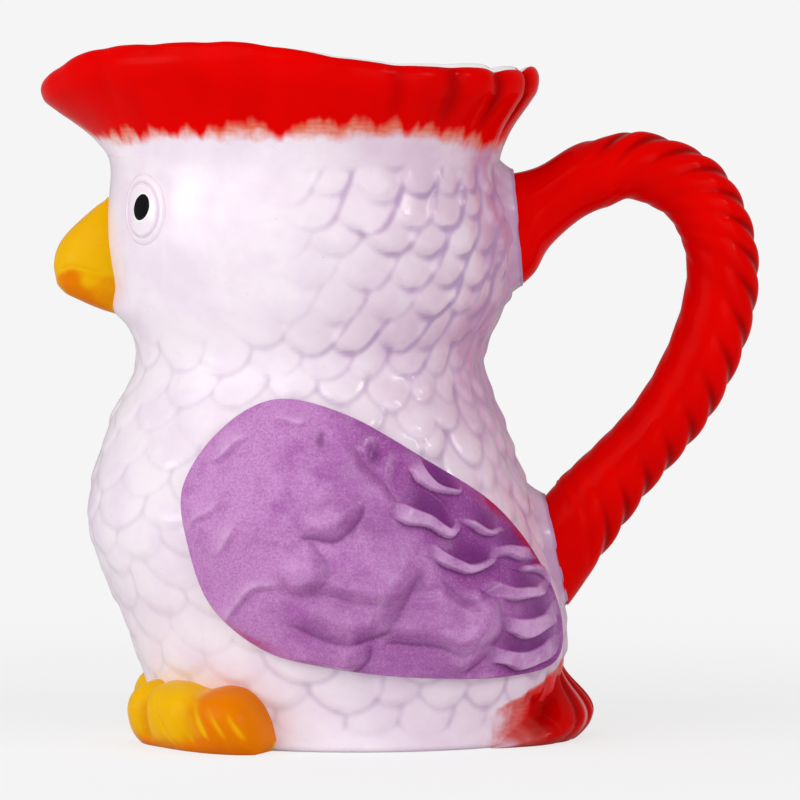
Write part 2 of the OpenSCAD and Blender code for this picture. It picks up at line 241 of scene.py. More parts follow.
def add_piece(name, node, slot, form, glaze, **fields):
    """Mesh piece that stands for a node, with a number per point for each field."""
    points, faces = form
    if enclosed_volume(points, faces) < 0:
        faces = [face[::-1] for face in faces]
    mesh = bpy.data.meshes.new(name)
    mesh.from_pydata((points * MM).tolist(), [], faces)
    for key, values in fields.items():
        filled = np.full(len(points), FIELD_REST.get(key, 0.0), np.float32)
        filled[:np.size(values)] = np.ravel(values)
        mesh.attributes.new(key, "FLOAT", "POINT").data.foreach_set("value", filled)
    mesh.validate()
    mesh.shade_smooth()
    mesh.set_sharp_from_angle(angle=SHARP_ANGLE)
    mesh.materials.append(glaze)
    piece = new_object(name, mesh)
    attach(piece, "root")
    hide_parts(node)


def add_pair(name, slot, form, glaze, **fields):
    """A piece on the left side and its mirror image on the right side."""
    for node, way in (("left_" + name, 1), ("right_" + name, -1)):
        add_piece(node + "_glazed", node, slot, (form[0] * [1, way, 1], form[1]), glaze, **fields)


def disc_grid(n):
    """Grid of a disc: share of the radius and share of a turn, as n + 1 rows and columns."""
    a, b = 2 * np.mgrid[:n + 1, :n + 1] / n - 1
    wide = abs(a) > abs(b)
    radius = np.where(wide, a, b)
    safe = np.where(radius == 0, 1, radius)
    turn = np.where(wide, b / safe, 2 - a / safe) / 8
    turn = np.where(radius < 0, turn + 0.5, turn) % 1
    return abs(radius), turn


def grid_border(n):
    index = np.arange((n + 1) ** 2).reshape(n + 1, n + 1)
    return np.concatenate([index[0, :-1], index[:-1, -1], index[-1, :0:-1], index[:0:-1, 0]])


# Shader nodes
RIPPLE_DEPTH = 0.0004


def srgb(*shade):
    """Linear colour of a screen shade from 0 to 255."""
    return (*Color([value / 255 for value in shade]).from_srgb_to_scene_linear(), 1.0)


class Tree:
    """Node tree of a new material or world."""

    def __init__(self, name, kind="materials"):
        self.owner = getattr(bpy.data, kind).new(name)
        self.owner.use_nodes = True
        self.nodes = self.owner.node_tree.nodes
        self.links = self.owner.node_tree.links
        self.place = self.node("ShaderNodeTexCoord", output="Object")

    def node(self, kind, inputs=(), output=0, **settings):
        made = self.nodes.new(kind)
        for key, value in settings.items():
            setattr(made, key, value)
        for key, value in dict(inputs).items():
            self.feed(made.inputs[key], value)
        return made.outputs[output]

    def feed(self, socket, value):
        """Sets a socket to a constant, another socket or, by its name, a field of the mesh."""
        if isinstance(value, str):
            value = self.node("ShaderNodeAttribute", output="Fac", attribute_name=value)
        if isinstance(value, bpy.types.NodeSocket):
            self.links.new(value, socket)
        else:
            socket.default_value = value

    def add(self, a, b):
        return self.node("ShaderNodeMath", {0: a, 1: b}, operation="ADD")

    def times(self, a, b):
        return self.node("ShaderNodeMath", {0: a, 1: b}, operation="MULTIPLY")

    def ramp(self, value, low, high, bottom=0, top=1):
        inputs = {0: value, 1: low, 2: high, 3: bottom, 4: top}
        return self.node("ShaderNodeMapRange", inputs, interpolation_type="SMOOTHSTEP")

    def noise(self, scale, detail=3, rough=0.6, vector=None, stretch=None):
        vector = vector or self.place
        if stretch:
            vector = self.node("ShaderNodeVectorMath", {0: vector, 1: stretch}, operation="MULTIPLY")
        inputs = {"Vector": vector, "Scale": scale, "Detail": detail, "Roughness": rough}
        return self.node("ShaderNodeTexNoise", inputs)

    def swing(self, noise, amount):
        return self.times(self.add(noise, -0.5), amount)

    def blend(self, share, a, b):
        return self.node("ShaderNodeMix", {0: share, 6: a, 7: b}, 2, data_type="RGBA")

    def layer(self, colour, over, value, low, high, bottom=0, top=1):
        """Another colour over this one, where a value goes from low to high."""
        return self.blend(self.ramp(value, low, high, bottom, top), colour, over)

    def glaze(self, colour, roughness, specular, bump=0.15):
        """Material with a colour, an uneven gloss, and the ripple and pits of a fired glaze."""
        pits = self.ramp(self.noise(1500, 1, 0.4), 0.72, 0.82, 0, -0.6)
        height = self.add(self.noise(260, 2, 0.5), pits)
        bumped = self.node("ShaderNodeBump", {"Height": height, "Strength": bump, "Distance": RIPPLE_DEPTH})
        sheen = self.ramp(self.noise(70), 0.3, 0.7, *roughness)
        finish = {"Base Color": colour, "Roughness": sheen, "Specular IOR Level": specular, "Normal": bumped}
        for key, value in finish.items():
            self.feed(self.nodes["Principled BSDF"].inputs[key], value)
        return self.owner

    def show(self, output, lit, seen):
        """Ends the tree: one branch gives the light, the other is what the camera sees."""
        ray = self.node("ShaderNodeLightPath", output="Is Camera Ray")
        shown = self.node("ShaderNodeMixShader", {0: ray, 1: lit, 2: seen})
        self.feed(self.nodes[output].inputs["Surface"], shown)


# Glazes
LILAC_LIGHT = srgb(247, 236, 244)
LILAC_WASH = srgb(239, 224, 238)
DEEP_LILAC_AND_SHADE = srgb(172, 138, 180)
MAUVE = srgb(198, 152, 186)
WHITE_INSIDE = srgb(245, 243, 243)
RED = srgb(226, 1, 0)
RED_DEEP = srgb(150, 0, 0)
RED_THIN = srgb(228, 112, 82)
RED_FAINT = srgb(214, 100, 88)
# Pale pink of painted highlights on the rim's flutes and on a tail ridge
RED_HIGHLIGHT = srgb(238, 176, 184)
PURPLE = srgb(168, 96, 169)
PURPLE_LIGHT = srgb(194, 131, 194)
PURPLE_DARK = srgb(144, 60, 142)
PURPLE_POOL_AND_SHADE = srgb(104, 28, 108)
PURPLE_PALE_AND_HIGHLIGHT = srgb(226, 188, 226)
CRIMSON = srgb(164, 22, 78)
YELLOW = srgb(238, 180, 8)
ORANGE = srgb(228, 122, 0)
ORANGE_DEEP = srgb(202, 94, 0)
EYE_WHITE = srgb(252, 248, 244)
BLACK = srgb(14, 12, 18)
CLAY = srgb(236, 230, 220)
CLAY_DARK = srgb(214, 204, 190)
# Edge of red paint: colour and width of its wash, how ragged it is, and how softly the full colour starts
LOW_EDGE = (RED_FAINT, 4.0, 2.5, 0.8)
RIM_EDGE = (RED_THIN, 5.2, 6.5, 0.5)
# Distances from the pupil's middle at which its black and the white around it end
PUPIL_END, EYE_WHITE_END = 3.95, 4.5


def lilac_colour(tree):
    """Lilac-white wash with a few fine specks, darker with pooled glaze and painted shade in the recesses.
    """
    colour = tree.layer(LILAC_LIGHT, LILAC_WASH, tree.noise(55), 0.35, 0.68)
    colour = tree.layer(colour, LILAC_WASH, tree.noise(500, 2), 0.4, 0.75, 0, 0.18)
    uneven = tree.ramp(tree.noise(70), 0.3, 0.65, 0.55)
    # Mauve wash, partly painted shade on the back and beside the handle
    colour = tree.blend(tree.times("tint", uneven), colour, MAUVE)
    # Painted shade and pooled glaze in the recesses
    colour = tree.layer(colour, DEEP_LILAC_AND_SHADE, "hollow", 0.05, 0.9, 0, 0.85)
    return tree.layer(colour, DEEP_LILAC_AND_SHADE, tree.noise(1300, 1, 0.5), 0.76, 0.8, 0, 0.35)


def red_colour(tree):
    """Red glaze with darker streaks, and deeper red where painted shade falls in creases and on shaded
    sides.
    """
    colour = tree.layer(RED, RED_DEEP, tree.noise(60, 3, 0.5), 0.35, 0.75, 0, 0.16)
    # Painted shade
    return tree.layer(colour, RED_DEEP, "hollow", 0.1, 1, 0, 0.85)


def brushed_edge(tree, thin, band, rag, soft):
    """Lilac under red paint, "painted" being the distance inside its edge: a dry wash, then lobes."""
    stroke = tree.node("ShaderNodeCombineXYZ", {0: "across", 1: "along"})

    def wobble(across, along, amount):
        return tree.swing(tree.noise(1, 2, 0.6, stroke, (1 / across, 1 / along, 0)), amount)
    edge = tree.add("painted", tree.add(wobble(7, 5, 1.1 * band), wobble(1.6, 9, 0.3 * band)))
    dry = tree.ramp(wobble(5, 0.9, 1), -0.2, 0.15, 0.84)
    wash = tree.times(tree.ramp(edge, -0.1 * band, 0.8 * band), dry)
    lobes = tree.add(wobble(9, 40, 2.4 * rag), wobble(5, 16, 0.7 * rag))
    inside = tree.add(tree.add("painted", -band), lobes)
    washed = tree.blend(wash, lilac_colour(tree), thin)
    return tree.layer(washed, red_colour(tree), inside, -soft * band, 0.3 * soft * band)


def white_glaze():
    tree = Tree("white_glaze")
    colour = tree.blend("inner", brushed_edge(tree, *LOW_EDGE), WHITE_INSIDE)
    return tree.glaze(colour, (0.14, 0.26), 0.32)


def rim_glaze():
    tree = Tree("rim_glaze")
    colour = tree.blend("worn", brushed_edge(tree, *RIM_EDGE), RED_HIGHLIGHT)
    ragged = tree.add("inner", tree.noise(240))
    colour = tree.layer(colour, WHITE_INSIDE, ragged, 1, 1.12)
    return tree.glaze(colour, (0.12, 0.2), 0.02, 0.05)


def red_glaze():
    tree = Tree("red_glaze")
    return tree.glaze(red_colour(tree), (0.05, 0.09), 0.025, 0.05)


def tail_glaze():
    tree = Tree("tail_glaze")
    colour = tree.blend("worn", brushed_edge(tree, *LOW_EDGE), RED_HIGHLIGHT)
    return tree.glaze(colour, (0.08, 0.14), 0.05, 0.08)


def purple_base(tree):
    """Uneven purple, lighter to the front and darker behind the feather tips, partly with painted shade
    there.
    """
    along = tree.node("ShaderNodeSeparateXYZ", {0: tree.place})
    cloud = tree.noise(60, 4, 0.65)
    light = tree.add(cloud, tree.ramp(along, -0.005, -0.04, -0.05, 0.2))
    colour = tree.layer(PURPLE, PURPLE_LIGHT, light, 0.38, 0.62)
    colour = tree.layer(colour, PURPLE_DARK, tree.noise(130, 4, 0.7), 0.48, 0.7, 0, 0.4)
    streaks = tree.noise(1, stretch=(70, 70, 500))
    colour = tree.layer(colour, PURPLE_LIGHT, streaks, 0.42, 0.66, 0, 0.22)
    # Darker purple behind the feather tips, partly painted shade in that recess
    shade = tree.times("ground", tree.ramp(cloud, 0.8, 0.3, 0.45, 0.95))
    colour = tree.blend(shade, colour, PURPLE_DARK)
    grain = tree.noise(1500, 3, 0.75)
    colour = tree.layer(colour, PURPLE_PALE_AND_HIGHLIGHT, grain, 0.48, 0.7, 0, 0.22)
    return tree.layer(colour, PURPLE_DARK, grain, 0.52, 0.34, 0, 0.36)


def purple_glaze():
    tree = Tree("purple_glaze")
    # Painted shade and pooled glaze in the creases and recesses
    colour = tree.layer(purple_base(tree), PURPLE_POOL_AND_SHADE, "hollow", 0.05, 0.8, 0, 0.95)
    # Painted highlight on the lit crests of lobes and wrinkles; on the feather tips' lips, thin glaze and
    # painted light from the floor
    crest_highlight_and_thin_glaze = tree.times("crest", tree.ramp(tree.noise(200), 0.3, 0.65, 0.2, 0.6))
    colour = tree.blend(crest_highlight_and_thin_glaze, colour, PURPLE_PALE_AND_HIGHLIGHT)
    border = tree.times(tree.ramp("edge", 5.5, 2), "blush")
    stray = tree.times(border, tree.ramp(tree.noise(160), 0.35, 0.6, 0.6, 1.2))
    colour = tree.blend(stray, colour, CRIMSON)
    # Darker ragged border: a painted dark edge, and painted shade where the wing rounds down into the body
    ragged = tree.add("edge", tree.times(tree.noise(320), -1.6))
    colour = tree.layer(colour, PURPLE_DARK, ragged, 0.1, -0.5, 0, 0.8)
    return tree.glaze(colour, (0.2, 0.34), 0.22, 0.3)


def yellow_glaze():
    tree = Tree("yellow_glaze")
    share = tree.add("orange", tree.swing(tree.noise(120), 0.7))
    colour = tree.layer(YELLOW, ORANGE, share, 0.15, 0.9)
    # Painted shade in the creases between the toes and along the beak's mouth
    colour = tree.layer(colour, ORANGE_DEEP, "hollow", 0.1, 1, 0, 0.9)
    return tree.glaze(colour, (0.14, 0.26), 0.04)


def eye_glaze():
    tree = Tree("eye_glaze")
    away = tree.add("away", tree.times(tree.noise(500, 2, 0.5), 0.3))
    colour = tree.layer(lilac_colour(tree), EYE_WHITE, away, EYE_WHITE_END, EYE_WHITE_END - 0.4)
    pupil = tree.ramp(away, PUPIL_END, PUPIL_END - 0.15)
    specular = tree.ramp(pupil, 0, 1, 0.5, 0.1)
    return tree.glaze(tree.blend(pupil, colour, BLACK), (0.1, 0.18), specular)


def bare_clay():
    tree = Tree("bare_clay")
    colour = tree.layer(CLAY, CLAY_DARK, tree.noise(900, 4, 0.7), 0.35, 0.7)
    return tree.glaze(colour, (0.7, 0.85), 0.2, 0.6)


# Feathers of the body: rows of rounded scales that overlap downwards, wide in front and narrow at the back
FEATHERS_AROUND = 25
FEATHER_SPREAD = 22
FEATHER_OVERLAP = 1.06
FEATHER_PITCH = 8.6
FEATHER_LENGTH = 22
FEATHER_DROP = 8.6
FEATHER_EDGE = 1.7
FEATHER_RELIEF = 2.5
FEATHER_PLUMP = (0.96, 1.14)
FEATHER_LINE = (0.6, 1.45)
GROUND_HEIGHT, MEAN_HEIGHT = 0.3, 0.66
HEAD_Z, HEAD_BLEND = 118, 20
CHEST_LEAN, HEAD_LEAN = 0.05, 0.62


def feather_row(row):
    """Middle angle and relative width of each feather in a row, from the back to the front."""
    turn = 2 * pi * (np.arange(FEATHERS_AROUND) + row % 2 / 2) / FEATHERS_AROUND
    middle = np.degrees(turn) - FEATHER_SPREAD * sin(turn)
    width = 1 - radians(FEATHER_SPREAD) * cos(turn)
    order = np.argsort(off_back(middle))
    return zip(middle[order], width[order])


def feather_depth(share, up, half, on_head):
    """Distance inside a feather's outline, by the share of its half width and the way up."""
    power = mix(1.8, 2.3, on_head)
    drop = clip(1 - up / FEATHER_DROP, 0, None)
    return (1 - (share**power + drop**power) ** (1 / power)) * min(half, FEATHER_DROP)


def lay_feather(relief, line, angles, heights, tip_z, middle, width):
    """Lays a feather, a little uneven, over those that are there."""
    middle = middle + RNG.normal(0, 1.2)
    tip = tip_z + RNG.normal(0, 0.9)
    tilt = RNG.normal(0, 0.1)
    size = RNG.uniform(0.8, 1.15)
    plump = RNG.uniform(*FEATHER_PLUMP)
    on_head = ease(tip_z, HEAD_Z - HEAD_BLEND, HEAD_Z)
    degree = mm_per_degree(middle, clip(tip_z + FEATHER_PITCH, 0, JOINT_Z))
    half = FEATHER_OVERLAP * degree * 180 / FEATHERS_AROUND * width * plump
    forward = sin(radians(middle))
    lean = np.arctan(tilt + mix(CHEST_LEAN, HEAD_LEAN, on_head) * forward)

    turn = turn_from(angles, middle) * degree
    rows = (heights > tip_z - 9) & (heights < tip_z + FEATHER_LENGTH)
    columns = abs(turn) < 2.2 * half
    block = np.ix_(rows, columns)
    level, rise = np.meshgrid(turn[columns], heights[rows] - tip)
    across = level * cos(lean) + rise * sin(lean)
    up = rise * cos(lean) - level * sin(lean)

    share = abs(across) / half
    depth = feather_depth(share, up, half, on_head)
    surface = size * (1 - 0.85 * clip(up / FEATHER_LENGTH, 0, 1) ** 0.65) * (1 - 0.3 * share**2)
    relief[block] = mix(relief[block], surface, ease(depth, -0.3, FEATHER_EDGE))
    # Line of painted shade under the edge; on the head it is darker along the feather's rear edge
    rear = ease(-across * np.sign(forward) / half, -0.5, 0.6)
    weight = mix(0.62, 0.15 + 0.95 * rear, on_head) * np.interp(plump, FEATHER_PLUMP, FEATHER_LINE)
    darker = maximum(line[block], weight * bell(depth + 0.4, 0.75))
    line[block] = np.where(depth > 0.2, 0, darker)


def feather_relief(angles, heights):
    """Height of the feathers, and the lines of painted shade under their edges."""
    relief = np.full((len(heights), len(angles)), GROUND_HEIGHT)
    line = np.zeros(relief.shape)
    tips = np.arange(heights[0] - FEATHER_LENGTH, heights[-1] + 3, FEATHER_PITCH)
    for row, tip_z in enumerate(tips):
        for middle, width in feather_row(row):
            lay_feather(relief, line, angles, heights, tip_z, middle, width)
    return relief, line


def feather_strength(angle, z):
    """How far the feathers stand out: soft on the chest, none on the face, full behind."""
    side = off_back(angle)
    head = ease(side, 112, 62) + 0.2 * ease(side, 62, 40)
    chest = mix(0.6, 1.05, ease(side, 150, 60))
    strength = mix(chest, head, ease(z, 106, 128))
    return strength * ease(z, JOINT_Z, JOINT_Z - 5) * ease(z, 2, 9)


def back_tint(angle):
    """Share of the mauve wash, growing from the sides to the back, where it is partly painted shade."""
    side = off_back(angle)
    return 0.5 * ease(side, 100, 45) + 0.75 * ease(side, 46, 16)


# Body shell, with its cavity inside
BODY_COLUMNS, BODY_ROWS = 468, 182
BASE_Z, BASE_ROUND = 0.15, 1.1
FLOOR_THICKNESS, CAVITY_ROUND = 6.3, 20
CAVITY_Z = node_box("base_foot")[1][2] + FLOOR_THICKNESS
JOINT_BLEND = 6
STROKE_UNIT = 1.08


def joint_flare(angles, z):
    """How far the body's top turns out to meet the slope at which the rim leaves it."""
    flare, rise, _ = rim_form(angles)
    below = z - JOINT_Z
    return FLARE_START * flare / (rise * LIP_START) * below * exp(below / JOINT_BLEND)


def body_inside(angles):
    """Rings of the cavity, from the joint down to its rounded floor."""
    wall_z = mix(JOINT_Z, CAVITY_Z + CAVITY_ROUND, linspace(0, 1, 18) ** 1.7)
    bend = radians(linspace(9, 90, 10))
    z = np.append(wall_z, CAVITY_Z + CAVITY_ROUND * (1 - sin(bend)))[:, None]
    inset = WALL + np.append(0 * wall_z, CAVITY_ROUND * (1 - cos(bend)))[:, None]
    return skin(angles, z, joint_flare(angles, z) - inset)


def body_piece(glaze):
    angles = even_turn(BODY_COLUMNS)
    heights = linspace(BASE_Z, JOINT_Z, BODY_ROWS)
    angle, z = np.meshgrid(angles, heights)
    relief, line = (soften(field, 1, True) for field in feather_relief(angles, heights))
    # Painted shade under the feathers' edges and where the relief sinks, also standing for glaze pooled
    # there
    hollow = clip(0.75 * line + 1.3 * (soften(relief, 10, True) - relief), 0, 1)
    strength = feather_strength(angle, z)
    sway = 0.18 * sin(radians(3 * angle) + z / 17) + 0.14 * sin(radians(5 * angle) - z / 11)
    tuck = clip(1 - (z - BASE_Z) / BASE_ROUND, 0, 1)
    out = (FEATHER_RELIEF * strength * (relief - MEAN_HEIGHT) + sway * ease(z, JOINT_Z, JOINT_Z - 12)
           + joint_flare(angles, z) + chin_rise(z) * bell(turn_from(angle, 180), CHIN_TURN)
           - BASE_ROUND * (1 - sqrt(1 - tuck**2)))
    rings = np.concatenate([raised(angle, z, out), body_inside(angles)])
    form = capped_tube(rings, [0, 0, BASE_Z], [0, 0, CAVITY_Z])
    # Mauve, stronger up the neck and strongest around the neck inside the handle's loop, where it is painted
    # shade
    tint = back_tint(angle) * (mix(0.55, 1, ease(z, 60, 110)) + 0.35 * bell(z - 114, 12))
    add_piece("body_glazed", "body_shell", "white_glaze", form, glaze,
              tint=tint, hollow=hollow * strength, inner=np.zeros(z.shape),
              painted=maximum(tail_paint(angle, z), z - paint_edge(angles)),
              across=turn_from(angle, 0) * STROKE_UNIT, along=z)


# Pouring rim
FLUTES = 22
RIM_COLUMNS = 30 * FLUTES
LIP_START, LIP_THICKNESS = 0.86, 4.6
SPOUT_FLARE, SIDE_FLARE, BACK_FLARE = 19.4, 9.0, 11.4
RIM_BACK_Z, RIM_SIDE_Z, SPOUT_DROP = 193.7, 200.4, 10.2
# Share of the flare at a share of the way up, from the joint to the lip, and its slope at the joint
FLARE_STATIONS = np.array([
    [0, 0], [0.22, 0.17], [0.37, 0.33], [0.52, 0.53], [0.68, 0.755], [0.86, 0.96], [1, 1],
])
FLARE_START = 0.45
flare_share = smooth_curve(FLARE_STATIONS, 1, FLARE_START)
PAINT_Z = 172.6
HIGHLIGHT_ANGLE, HIGHLIGHT_WIDTH = 18.4, 0.45


def rim_form(angles):
    """How far the rim flares, how high it rises, and its flutes, for each angle."""
    side = off_back(angles)
    off_front = 180 - side
    flare = mix(SIDE_FLARE, BACK_FLARE, clip(cos(radians(side)), 0, 1) ** 2)
    flare = flare + (SPOUT_FLARE - SIDE_FLARE) * bell(off_front, 30)
    crisp = 1 - abs(sin(radians(FLUTES * angles / 2)))
    soft = ((1 + cos(radians(FLUTES * angles))) / 2) ** 2
    valley = mix(soft, crisp**1.4, ease(side, 44, 22))
    depth = 0.25 + 1.1 * ease(side, 85, 50) + 0.9 * ease(side, 45, 18) + 0.25 * bell(off_front - 32, 18)
    scallop = 0.3 + 1.2 * ease(side, 42, 25)
    wander = (0.25 * sin(radians(4 * angles)) + 0.2 * sin(radians(7 * angles) + 1)
              - 0.9 * bell(turn_from(angles, 24), 14) + 0.9 * bell(turn_from(angles, -40), 22))
    top_z = mix(RIM_BACK_Z, RIM_SIDE_Z, ease(side, 52, 112)) - SPOUT_DROP * bell(off_front, 22)
    return flare, top_z - scallop * valley + wander - JOINT_Z, depth * valley


def paint_edge(angles):
    side = off_back(angles)
    return PAINT_Z - 4 * ease(side, 60, 22) - 2 * bell(180 - side - 24, 14)


def rim_piece(glaze):
    angles = even_turn(RIM_COLUMNS)
    flare, rise, flute = rim_form(angles)
    up = linspace(0, 1, 52)[:, None]
    turn = radians(linspace(0, 180, 20)[1:-1])[:, None]
    down = linspace(1, 0, 26)[:, None]
    outer_crease = flute * ease(up, 0, 0.8)
    lip_crease = flute * cos(turn / 2) ** 2
    outer_out = flare * flare_share(up) - outer_crease
    lip_out = flare + LIP_THICKNESS / 2 * (cos(turn) - 1) - lip_crease
    inner_out = mix(-WALL, flare - LIP_THICKNESS, flare_share(down))
    out = np.concatenate([outer_out, lip_out, inner_out])
    lip_rise = LIP_START + (1 - LIP_START) * sin(turn)
    z = JOINT_Z + rise * np.concatenate([LIP_START * up, lip_rise, LIP_START * down])
    rings = skin(angles, np.full(z.shape, JOINT_Z), out)
    rings[..., 2] = z
    form = rings.reshape(-1, 3), grid_faces(*z.shape, wrap_rows=True)
    # Painted highlight: a pale line beside the first flute valley from the back, on either side
    worn = 0.8 * bell((off_back(angles) - HIGHLIGHT_ANGLE) * STROKE_UNIT, HIGHLIGHT_WIDTH)
    angle = np.broadcast_to(angles, z.shape)
    # Painted shade in the flutes' creases
    add_piece("rim_glazed", "pouring_rim", "red_glaze", form, glaze,
              hollow=clip(0.5 * np.concatenate([outer_crease, lip_crease]), 0, 1),
              inner=np.repeat(np.append(0 * up, ease(turn, 1.3, 1.9)), RIM_COLUMNS),
              tint=back_tint(angle), worn=worn * ease(z, PAINT_Z - 4, PAINT_Z + 8),
              painted=z - paint_edge(angles), across=angle * STROKE_UNIT, along=z)


# Handle: a rope of strands, with plain flared roots. Its stations from the upper root to the lower one give
# middle x and z, tilt of the section, half thickness and half width
HANDLE_STATIONS = [
    [46.4, 147, 96, 16, 12], [50.4, 149.3, 95, 14.6, 11.6], [54.8, 153.8, 95, 11.9, 10.8],
    [63.6, 160.4, 95, 10.7, 10], [72, 163.4, 91, 10.1, 10], [81.8, 165.1, 80, 9.8, 10],
    [97.6, 157.4, 46, 10.4, 10], [105.4, 139.6, 7, 10.3, 10], [102.8, 118.2, -3, 10.8, 10],
    [91.5, 94.9, -10, 11.2, 10], [71.6, 72.4, -24, 11.4, 10.4], [64.3, 62.7, -56, 12.3, 11.2],
    [57.6, 53.4, -78, 16, 12],
]
HANDLE_RINGS, HANDLE_SIDES = 480, 112
STRANDS, STRAND_PITCH, STRAND_DEPTH = 6, 10.6, 0.1


def handle_piece(glaze):
    path = even_path(HANDLE_STATIONS, HANDLE_RINGS)
    x, z, tilt, thick, wide = (column[:, None] for column in path.T)
    lean_x, lean_z = cos(radians(tilt)), sin(radians(tilt))
    run = path_run(np.hstack([x + thick * lean_x, z + thick * lean_z]))[:, None]
    turn = radians(even_turn(HANDLE_SIDES))
    twist = -turn * STRANDS / 2 + pi * run / STRAND_PITCH + 0.3 * sin(run / 13)
    grip = ease(run, 18, 34) * ease(run[-1] - run, 8, 24)
    outwards = 0.5 + 0.5 * cos(turn)
    groove = abs(sin(twist)) ** 3 * grip * mix(0.2, 1, outwards**2)
    size = 1 + 0.02 * grip - STRAND_DEPTH * groove
    across, along = thick * size * cos(turn), wide * size * sin(turn)
    form = capped_tube(np.stack([x + across * lean_x, along, z + across * lean_z], -1))
    # Painted shade in the grooves between strands, and darker toward the handle's outer side
    add_piece("handle_glazed", "handle", "red_glaze", form, glaze,
              hollow=1.2 * groove**2 + 0.25 * outwards**3)


# Pads that join the handle to the body: x of the handle's side at the pad's lower and upper end
PAD_FACES = {"handle_upper_seat": (47.9, 44.8), "handle_lower_seat": (61.4, 54)}
# Outline from the body to the handle: share of the pad's size, and share of the way
PAD_PROFILE = [
    (0.4, 0), (1.32, 0), (1.2, 0.12), (1.08, 0.3), (1, 0.5), (0.94, 0.72), (0.9, 0.9), (0.86, 1), (0.4, 1),
]
PAD_ROWS, PAD_SIDES = 44, 96
PAD_SINK, PAD_LIFT = 2.6, 0.3


def pad_piece(node, glaze):
    low, high = node_box(node)
    middle, half = (low + high) / 2, (high - low) / 2
    turn = radians(even_turn(PAD_SIDES))
    uneven = 1 + 0.025 * sin(5 * turn + 1) + 0.02 * sin(9 * turn)

    def ring(share, lift):
        y = middle[1] + half[1] * share * sin(turn) * uneven
        z = middle[2] + half[2] * share * cos(turn) * uneven
        angle = np.degrees(np.arcsin(clip(-y / side_reach(z), -1, 1)))
        face_x = mix(*PAD_FACES[node], (z - low[2]) / (high[2] - low[2]))
        return np.stack([mix(skin(angle, z)[:, 0] - PAD_SINK, face_x + PAD_LIFT, lift), y, z], -1)
    path = even_path(PAD_PROFILE, PAD_ROWS)
    rings = np.stack([ring(share, lift) for share, lift in path])
    form = capped_tube(rings, ring(0, 0)[0], ring(0, 1)[0])
    # Painted shade: the pad gets full mauve, is darker all over, and darkest where it meets the handle
    add_piece(node + "_glazed", node, "white_glaze", form, glaze, tint=np.ones(len(form[0])), painted=[],
              hollow=np.repeat(0.35 + 0.65 * ease(path[:, 1], 0.75, 0.95), PAD_SIDES))


# Relief laid on the body, with the loops of its sunk back at shares of the way out
PATCH_BACK = (0.985, 0.6, 0.3)


def along_edge(values, turn):
    count = len(values)
    return np.interp(turn * count, np.arange(count), values, period=count)


def patch_places(middle, edge, radius, turn):
    """Angles and heights over a disc grid inside an edge of points [angle, z]."""
    return [mix(middle[k], along_edge(edge[:, k], turn), radius) for k in (0, 1)]


def patch_mesh(middle, edge, height, sink=0.8):
    """Patch raised over a disc grid, with its back sunk into the body."""
    n = len(height) - 1
    angle, z = patch_places(middle, edge, *disc_grid(n))
    border = grid_border(n)
    loops = []
    for share in PATCH_BACK:
        places = [mix(middle[k], grid.ravel()[border], share) for k, grid in enumerate((angle, z))]
        loops.append(raised(*places, -sink))
    points = np.concatenate([raised(angle, z, height).reshape(-1, 3), *loops, [raised(*middle, -sink)]])
    faces = grid_faces(n + 1, n + 1, wrap_columns=False)
    count, size = (n + 1) ** 2, len(border)
    rings = [border] + [count + k * size + np.arange(size) for k in range(len(loops))]
    for a, b in zip(rings, rings[1:]):
        faces += np.stack([a, b, np.roll(b, -1), np.roll(a, -1)], -1).tolist()
    faces += fan_faces(rings[-1][::-1], count + size * len(loops))
    return points, faces


# Wing: its outline as [angle around the body, height above the belly]
WING_MIDDLE = [78, -5]
WING_OUTLINE = [
    [123, 12.5], [122, -4], [121, -22], [111, -34], [94, -39], [72, -42], [46, -43], [24, -40],
    [20, -28], [27, -8], [38, 6], [55, 18], [76, 31], [98, 36.2], [114, 27.8],
]
WING_UNIT = 1.1
WING_GRID = 304
WING_EDGE, WING_CROWN, WING_ROUND, WING_SINK = 2.3, 2.2, 1.2, 1.2
# Feather tips: width of the lip at the start and the end, and its lower edge as a run of [x, z] points, seen
# from the side, with the high ground on its left
WING_TIPS = [
    (4.6, 0.9, [[12.2, 80.4], [13.2, 78.2], [15.2, 76], [19.7, 73.4], [24.2, 72.4], [27, 72.4],
                [28.2, 74.2]]),
    (4.2, 2.4, [[7.4, 67.4], [12.4, 65.6], [17.4, 64.4], [20.4, 62.9], [22.4, 61.8], [24.4, 61.6],
                [26.6, 63], [27.6, 64.8]]),
    (1.3, 1.6, [[27.6, 64.8], [29.6, 63], [32, 61.6], [34.8, 61], [37.4, 62]]),
    (3.8, 1.6, [[19.2, 55.6], [21.4, 54.4], [24.4, 53], [28.6, 51.5], [32, 51.6], [34.8, 52.8],
                [37.2, 54.8]]),
    (2.6, 2.6, [[37, 54.9], [40, 55], [43, 54.2], [46.2, 53.4]]),
    (1.8, 1.8, [[44.8, 50.4], [47.4, 49.4], [49.9, 48.2], [51.4, 46.6]]),
    (3.8, 2.8, [[36.6, 44.8], [40.4, 42.9], [44.9, 42.2], [48.8, 42.4], [51, 44.6]]),
    (4.4, 5.4, [[38.2, 35.4], [42, 33.6], [46, 32.5], [50, 32.6], [52.8, 33.8], [55.2, 36.4]]),
    (4.8, 4.8, [[35, 25.8], [43.8, 24], [50.5, 24.6], [56, 27.4]]),
]
TIP_RISE, TIP_REACH, TIP_FADE = 1.9, 9.0, 0.14
# Left edge of the dark ground under the tips, as [z, x]: darker purple there, partly painted shade in the
# recess
WING_GROUND = np.array([
    [20, 38], [34.4, 37.6], [44, 36], [47.8, 25], [55.1, 20.8], [70.2, 9.6], [90.4, 1.2], [100, -6],
])
